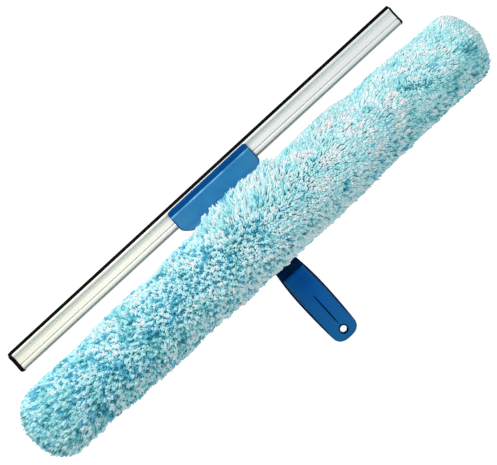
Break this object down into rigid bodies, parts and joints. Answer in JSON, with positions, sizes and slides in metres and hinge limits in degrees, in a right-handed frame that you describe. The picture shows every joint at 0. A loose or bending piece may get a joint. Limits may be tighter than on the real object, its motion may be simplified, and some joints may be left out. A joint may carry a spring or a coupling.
{
  "type": "window washer squeegee",
  "caption": "Hand tool with a fluffy washer sleeve on a cross bar and a rubber squeegee in an aluminium channel clamped at the top of its handle.",
  "frame": {"origin": "middle of the tool's footprint, on the flat back of its handle", "axes": "+X along the squeegee, +Y from the handle's end towards the rubber edge, +Z from the handle's back towards the washer sleeve"},
  "size_m": [0.51, 0.1934, 0.0793],
  "materials": {
    "handle_plastic": "moulded, satin gloss",
    "channel_metal": "extruded, clear anodised",
    "blade_rubber": "smooth, cut edge",
    "cap_plastic": "moulded, matte",
    "screw_steel": "zinc plated",
    "bar_plastic": "extruded and moulded, matte",
    "sleeve_cloth": "microfibre pile in white and pale blue",
    "binding_tape": "woven tape",
    "closure_tape": "hook and loop"
  },
  "bodies": {
    "handle": {"frame": "handle_plastic", "grip_cover": "handle_plastic", "grip_screws": "screw_steel", "clamp_jaw": "handle_plastic", "jaw_screws": "screw_steel", "bar_saddle": "handle_plastic", "saddle_screws": "screw_steel", "bar_nuts": "screw_steel", "washer_bar": "bar_plastic", "bar_cap_left": "bar_plastic", "bar_cap_right": "bar_plastic", "washer_sleeve": "sleeve_cloth", "slit_binding": "binding_tape", "hook_tape": "closure_tape", "loop_tape": "closure_tape"},
    "squeegee": {"squeegee_channel": "channel_metal", "channel_cap_left": "cap_plastic"},
    "blade": {"blade_rubber": "blade_rubber", "channel_cap_right": "cap_plastic"}
  },
  "joints": [
    {"name": "channel_slide", "type": "slide", "parent": "handle", "child": "squeegee", "axis": [1, 0, 0], "range_m": [-0.17, 0.18]},
    {"name": "blade_slide", "type": "slide", "parent": "squeegee", "child": "blade", "axis": [1, 0, 0], "range_m": [0, 0.46]}
  ]
}
